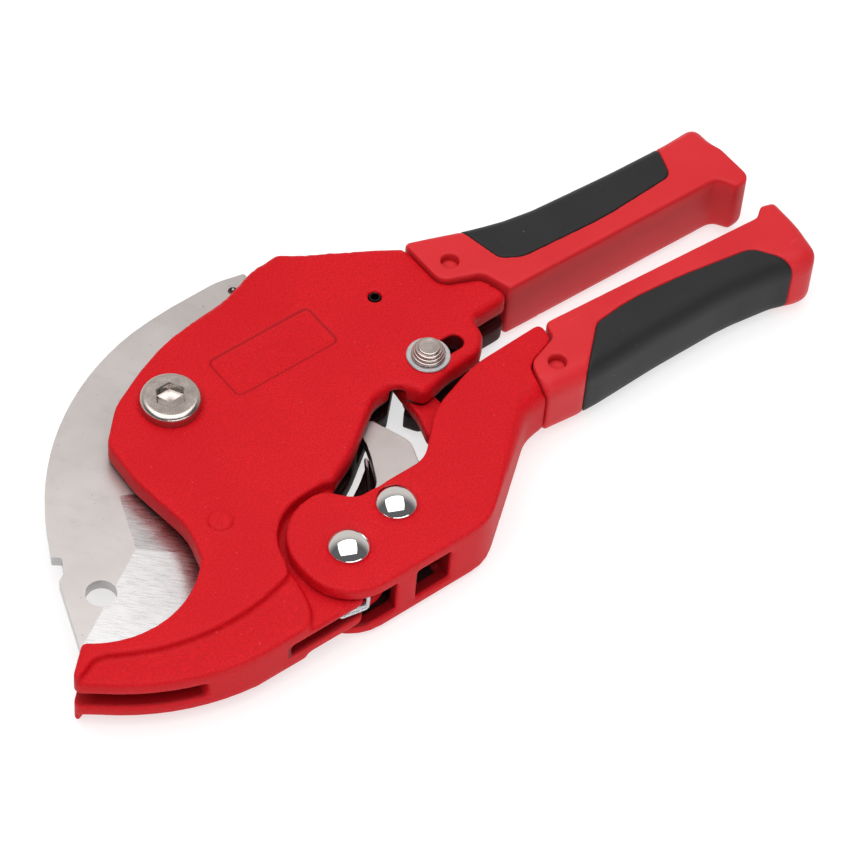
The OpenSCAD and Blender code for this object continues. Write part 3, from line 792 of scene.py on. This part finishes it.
def plate_piece(name, node, body, material, chamfer):
    """Welded copy of a flat CAD part, with finely broken edges."""
    build = bmesh.new()
    build.from_mesh(frame["nodes"][node].data)
    bmesh.ops.remove_doubles(build, verts=build.verts[:], dist=0.002 * MM)
    bmesh.ops.dissolve_limit(
        build, angle_limit=math.radians(0.6), verts=build.verts[:], edges=build.edges[:])
    corners = [
        e for e in build.edges
        if len(e.link_faces) == 2 and e.calc_face_angle(0) > math.radians(35)
    ]
    bmesh.ops.bevel(
        build, geom=corners, offset=chamfer * MM, offset_type="OFFSET", segments=2, profile=0.5,
        affect="EDGES", clamp_overlap=True)
    for face in build.faces:
        face.smooth = True
    for edge in build.edges:
        if len(edge.link_faces) != 2:
            continue
        flat = all(abs(f.normal.z) > 0.9 for f in edge.link_faces)
        turn = math.degrees(edge.calc_face_angle(0))
        edge.smooth = turn < (1.0 if flat else 25.0)
    mesh = bpy.data.meshes.new(name)
    build.to_mesh(mesh)
    build.free()
    return finish_piece(linked(name, mesh), body, material, [node])


plate_piece("blade_plate", "blade", "blade", BLADE, 0.12)
plate_piece("ratchet_pawl", "drive_pawl", "drive_pawl", PAWL_STEEL, 0.15)


# ---------------------------------------------------------------- pins, washers and springs

PIN_GAP = 0.05
SEAT_Z = PLATE_HIGH - 0.4        # where the bolt's and rivets' heads sit
BOLT_SHANK, BOLT_HEAD, NUT_FLATS, NUT_FACE = 3.95, 7.0, 13.0, 6.3
BUSH_RADIUS, WASHER_RADIUS = 5.95, 9.0
RIVET_HEAD, RIVET_BAND = 4.8, 0.55
LOCK_PIN, LOCK_WASHER = 2.0, 5.1
LOCK_STEPS = ((3.95, 0.9), (3.6, 0.85), (3.2, 0.8))        # radius and height of the button's steps
PEG_RADIUS = 2.1
SPRING_HOLE = (33.9, 22.6)       # in the blade's back corner


def pivot_bolt():
    """Button head with a hexagon socket, on its shank."""
    top, socket_floor, key_flats, curve = SEAT_Z + 3.2, SEAT_Z + 0.9, 6.0, 1.4
    low = levels("pivot_bolt")[0]

    def section(angle):
        key = hexagon(key_flats, angle)
        rim = [(0.0, socket_floor - 0.5), (key * 0.75, socket_floor), (key, socket_floor + 0.15)]
        rim += [(key, top - 0.30), (key + 0.28, top - 0.02), (5.4, top)]
        side = quarter((BOLT_HEAD - curve, top - curve), curve, 90, 0, 10)
        side += [(BOLT_HEAD, SEAT_Z + 0.15), (BOLT_HEAD - 0.15, SEAT_Z)]
        shank = [(BOLT_SHANK, SEAT_Z), (BOLT_SHANK, low + 0.4), (BOLT_SHANK - 0.4, low), (0.0, low)]
        return rim + side + shank

    obj = lathe("pivot_bolt_head_and_shank", section, PIVOT)
    finish_piece(obj, "frame", NICKEL, ["pivot_bolt"])


def pivot_nut():
    low, high = levels("pivot_nut")
    bore, mouth = BOLT_SHANK + PIN_GAP, 4.3

    def section(angle):
        corner = hexagon(NUT_FLATS, angle)
        drop = (corner - NUT_FACE) * 0.5
        return [(bore, low + 0.3), (mouth, low), (NUT_FACE, low), (corner, low + drop),
                (corner, high - drop), (NUT_FACE, high), (mouth, high), (bore, high - 0.3)]

    finish_piece(lathe("pivot_hex_nut", section, PIVOT), "frame", NICKEL, ["pivot_nut"])


def pivot_stack():
    bush = washer("pivot_bearing_bush", PIVOT, BOLT_SHANK + PIN_GAP, BUSH_RADIUS, levels("pivot_bush"))
    finish_piece(bush, "frame", BRASS, ["pivot_bush"])
    low, high = levels("blade_washers")
    rings = [
        washer("ring_under", PIVOT, BUSH_RADIUS + PIN_GAP, WASHER_RADIUS, (low, BLADE_LOW - 0.04), 0.06),
        washer("ring_over", PIVOT, BUSH_RADIUS + PIN_GAP, WASHER_RADIUS, (BLADE_HIGH + 0.04, high), 0.06)]
    finish_piece(joined("blade_washer_pair", rings), "frame", ZINC, ["blade_washers"])


def rivet(name, node, at, body, shank):
    """Chromed dome above, low dome below."""
    low, high = levels(node)
    reach, band = RIVET_HEAD, RIVET_BAND
    rise, sink = high - SEAT_Z - band, PLATE_LOW - low
    top_ball = (reach * reach + rise * rise) / (2 * rise)
    foot_ball = (reach * reach + sink * sink) / (2 * sink)
    top_turn = math.degrees(math.asin(reach / top_ball))
    foot_turn = math.degrees(math.asin(reach / foot_ball))
    dome = quarter((0, high - top_ball), top_ball, 90, 90 - top_turn, 28)
    foot = quarter((0, low + foot_ball), foot_ball, foot_turn - 90, -90, 10)
    profile = dome[:-1] + [(reach - 0.03, SEAT_Z + band), (reach, SEAT_Z + band - 0.12), (reach, SEAT_Z)]
    profile += [(shank, SEAT_Z), (shank, PLATE_LOW)] + foot
    finish_piece(lathe(name, profile, at, 128), body, CHROME, [node])


def roll_pin():
    low, high = levels("roll_pin")
    profile = [(0.95, low), (1.3, low), (1.55, low + 0.5), (1.55, high - 0.5), (1.3, high), (0.95, high)]
    obj = lathe("slit_roll_pin", profile, ANCHOR, 48, 11.5, 337)
    finish_piece(obj, "frame", BLACKED, ["roll_pin"])


def lock_parts():
    """Stepped button on a pin, a washer on each face of the frame, and a clip under the lower one."""
    low = levels("lock_pin")[0]
    base = PLATE_HIGH + 0.6
    profile = [(0, low), (LOCK_PIN - 0.3, low), (LOCK_PIN, low + 0.3), (LOCK_PIN, base)]
    for radius, height in LOCK_STEPS:
        r = height / 2
        profile += [(radius - r, base)] + quarter((radius - r, base + r), r, -80, 80, 8)
        profile += [(radius - r - 0.1, base + height - 0.03)]
        base += height - 0.03
    profile += [(2.6, base), (2.6, base + 0.3)] + quarter((2.3, base + 0.35), 0.3, 0, 90, 4)
    profile += [(1.9, base + 0.6), (0, base + 0.62)]
    button = lathe("lock_button_and_pin", profile, LOCK)
    finish_piece(button, "lock", NICKEL, ["lock_pin"])
    bore = LOCK_PIN + PIN_GAP
    rings = [
        washer("ring_over", LOCK, bore, LOCK_WASHER, (PLATE_HIGH + 0.03, PLATE_HIGH + 0.5), 0.16),
        washer("ring_under", LOCK, bore, LOCK_WASHER, (PLATE_LOW - 0.5, PLATE_LOW - 0.03), 0.16)]
    finish_piece(joined("lock_washer_pair", rings), "lock", ZINC, ["lock_washers"])
    clip = washer("lock_retaining_clip", LOCK, 2.02, 3.6, levels("lock_clip"), 0.1, start=32, sweep=296)
    finish_piece(clip, "lock", BLACKED, ["lock_clip"])


def handle_peg(name, node, at, body):
    """Moulded plug, set a little below the handle's face, with a shallow dished end."""
    low, high = levels(node)
    profile = [(0, low), (PEG_RADIUS, low), (PEG_RADIUS, high - 0.3)]
    profile += quarter((PEG_RADIUS - 0.3, high - 0.3), 0.3, 0, 90, 4)
    profile += [(1.2, high - 0.04), (0.6, high - 0.14), (0, high - 0.18)]
    finish_piece(lathe(name, profile, at, 48), body, PLASTIC, [node])


def pawl_spacers():
    low, high = levels("pawl_spacer")
    rings = [
        washer("ring_under", PAWL_PIVOT, 3.5, 5.2, (low, BLADE_LOW - 0.05)),
        washer("ring_over", PAWL_PIVOT, 3.5, 5.2, (BLADE_HIGH + 0.05, high))]
    finish_piece(joined("pawl_spacer_pair", rings), "lever", ZINC, ["pawl_spacer"])


def coil(at, radius, z, turns, start, steps=40):
    """Points of a helix about a vertical axis; turns may be negative."""
    count = int(abs(turns) * steps)
    return [
        Vector((at[0] + radius * math.cos(math.radians(start + 360 * turns * i / count)),
                at[1] + radius * math.sin(math.radians(start + 360 * turns * i / count)),
                z[0] + (z[1] - z[0]) * i / count))
        for i in range(count + 1)
    ]


def eased(path, reach=0.9, steps=4):
    """The path with its corners bent round instead of sharp."""
    path = [Vector(p) for p in path]
    out = [path[0]]
    for before, at, after in zip(path, path[1:], path[2:]):
        near = min(reach, (before - at).length / 2.2, (after - at).length / 2.2)
        a, b = at + (before - at).normalized() * near, at + (after - at).normalized() * near
        for i in range(steps + 1):
            t = i / steps
            out.append(a * (1 - t) ** 2 + at * 2 * t * (1 - t) + b * t * t)
    return out + [path[-1]]


def lever_spring():
    """Torsion spring round the lever's pivot, whose doubled leg hooks round the frame's lower wall."""
    wire, radius = 0.55, 7.4
    low, high = MID_Z - wire, MID_Z + wire
    bend, hook = (-0.6, -64.4), (6.1, -65.6)
    top = levels("lever_spring")[1]
    turn = coil(LEVER_PIVOT, radius, (low, high), -1.0, 216, 48)
    leg = eased([(*bend, high), (*hook, high), (*hook, low)], 1.0)
    path = [Vector((*hook, top - 0.1))] + eased(
        [(*hook, high + 1), (*hook, low), (*bend, low), turn[0]], 0.8) + turn[1:] + leg[:-5]
    obj = tube("lever_return_spring", path, wire)
    finish_piece(obj, "frame", WIRE, ["lever_spring"])


def pawl_spring():
    """Two turns round the pawl's rivet and a leg that presses on the pawl's nose side."""
    wire, radius = 0.45, 4.4
    low, high = levels("pawl_spring")
    turn = coil(PAWL_PIVOT, radius, (high - wire, low + wire), 1.6, 310, 40)
    leg = [turn[-1], Vector((21.2, -46.5, low + wire)), Vector((28.8, -35.0, low + wire))]
    obj = tube("pawl_torsion_spring", turn[:-1] + eased(leg, 1.5, 6), wire)
    finish_piece(obj, "lever", WIRE, ["pawl_spring"])


def blade_spring():
    """Pull spring from the roll pin to the blade's back corner."""
    wire, radius, turns = 0.4, 1.6, 18
    z = MID_Z - 4.4
    pin = Vector((ANCHOR.x, ANCHOR.y, z))
    hole = Vector((*SPRING_HOLE, z))
    along = (hole - pin).normalized()
    across, up = Vector((-along.y, along.x, 0)), Vector((0, 0, 1))
    start = pin + along * 6
    path = [pin + along * 1.9 + across * 0.1, pin + along * 5.2]
    steps = 20
    for i in range(turns * steps + 1):
        a = math.tau * i / steps
        centre = start + along * (2 * wire * i / steps)
        path.append(centre + (across * math.cos(a) + up * math.sin(a)) * radius)
    last = start + along * (2 * wire * turns + 0.8)
    path += [last, hole - along * 0.9, hole + up * 0.5, Vector((hole.x, hole.y, BLADE_HIGH + 0.5))]
    spring = tube("blade_pull_spring_coil", path, wire, 12)
    loop = tube("loop", coil(ANCHOR, 1.55 + PIN_GAP + wire, (z, z), 1.0, 0, 40), wire, 12)
    obj = joined("blade_pull_spring", [spring, loop])
    obj.data.materials.append(WIRE)
    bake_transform(obj)
    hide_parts("blade_spring")


pivot_bolt()
pivot_nut()
pivot_stack()
rivet("lever_pivot_rivet", "lever_rivet", LEVER_PIVOT, "frame", 3.95)
rivet("pawl_pivot_rivet", "pawl_rivet", PAWL_PIVOT, "lever", 3.45)
roll_pin()
lock_parts()
handle_peg("upper_plug", "upper_handle_peg", UPPER_PEG, "frame")
handle_peg("lower_plug", "lower_handle_peg", LOWER_PEG, "lever")
pawl_spacers()
lever_spring()
pawl_spring()
blade_spring()


# ---------------------------------------------------------------- studio and camera

def studio():
    floor = new_object(
        "floor", [(-3000, -3000, 0), (3000, -3000, 0), (3000, 3000, 0), (-3000, 3000, 0)], [(0, 1, 2, 3)])
    n = Nodes("pale_floor")
    tone = n.blend(n.spread(n.noise(60, 2.0), 0.3, 0.7), (0.42, 0.42, 0.42, 1), (0.44, 0.44, 0.44, 1))
    glow = {"Emission_Color": (1.0, 1.0, 1.0, 1.0), "Emission_Strength": 0.64}
    floor.data.materials.append(n.set(Base_Color=tone, Roughness=0.8, Specular_IOR_Level=0.1, **glow))
    room()
    lamp("softbox", (-60, -40, 640), (20, -20, 0), (850, 1000), 6.3, turn=-42)
    lamp("low_front_fill", (-150, -700, 170), (20, -50, 0), (900, 140), 1.3)


def room():
    """Light far wall, dim ceiling and a dark wall behind the viewer."""
    world = bpy.data.worlds.new("soft_room")
    bpy.context.scene.world = world
    world.use_nodes = True
    tree = world.node_tree
    background = tree.nodes["Background"]
    place = tree.nodes.new("ShaderNodeTexCoord")
    towards = tree.nodes.new("ShaderNodeVectorMath")
    towards.operation = "DOT_PRODUCT"
    towards.inputs[1].default_value = (0.56, 0.77, -0.30)
    tree.links.new(place.outputs["Generated"], towards.inputs[0])
    far = tree.nodes.new("ShaderNodeMapRange")
    far.interpolation_type = "SMOOTHSTEP"
    far.inputs["From Min"].default_value, far.inputs["From Max"].default_value = -0.15, 0.62
    tree.links.new(towards.outputs["Value"], far.inputs["Value"])
    mix = tree.nodes.new("ShaderNodeMix")
    mix.data_type = "RGBA"
    mix.inputs[6].default_value = (0.14, 0.14, 0.145, 1)
    mix.inputs[7].default_value = (0.78, 0.74, 0.70, 1)
    tree.links.new(far.outputs["Result"], mix.inputs[0])
    tree.links.new(mix.outputs[2], background.inputs[0])
    background.inputs[1].default_value = 1.0


def lamp(name, at, target, size, power, turn=0.0):
    light = bpy.data.lights.new(name, "AREA")
    light.shape = "RECTANGLE"
    light.size, light.size_y = size[0] * MM, size[1] * MM
    light.energy = power
    obj = linked(name, light)
    aim = (Vector(target) - Vector(at)).to_track_quat("-Z", "Y")
    obj.rotation_mode = "QUATERNION"
    obj.rotation_quaternion = aim @ Matrix.Rotation(math.radians(turn), 3, "Z").to_quaternion()
    obj.location = Vector(at) * MM
    return obj


def camera():
    """Looks down at the tool from its jaw side, a little rolled, as a long lens does."""
    azimuth, elevation, roll = math.radians(-42.0), math.radians(52.0), math.radians(5.4)
    distance, target = 907.0, Vector((47.1, -34.0, MID_Z))
    data = bpy.data.cameras.new("camera")
    data.sensor_width = 36.0
    data.lens = 168.6
    data.clip_start, data.clip_end = 0.05, 50.0
    obj = linked("camera", data)
    back = Vector((
        math.sin(azimuth) * math.cos(elevation), -math.cos(azimuth) * math.cos(elevation),
        math.sin(elevation)))
    level = (-back).to_track_quat("-Z", "Y")
    obj.rotation_mode = "QUATERNION"
    obj.rotation_quaternion = level @ Matrix.Rotation(roll, 3, "Z").to_quaternion()
    obj.location = (target + back * distance) * MM
    bpy.context.scene.camera = obj


studio()
camera()
bpy.context.scene.view_settings.view_transform = "Standard"
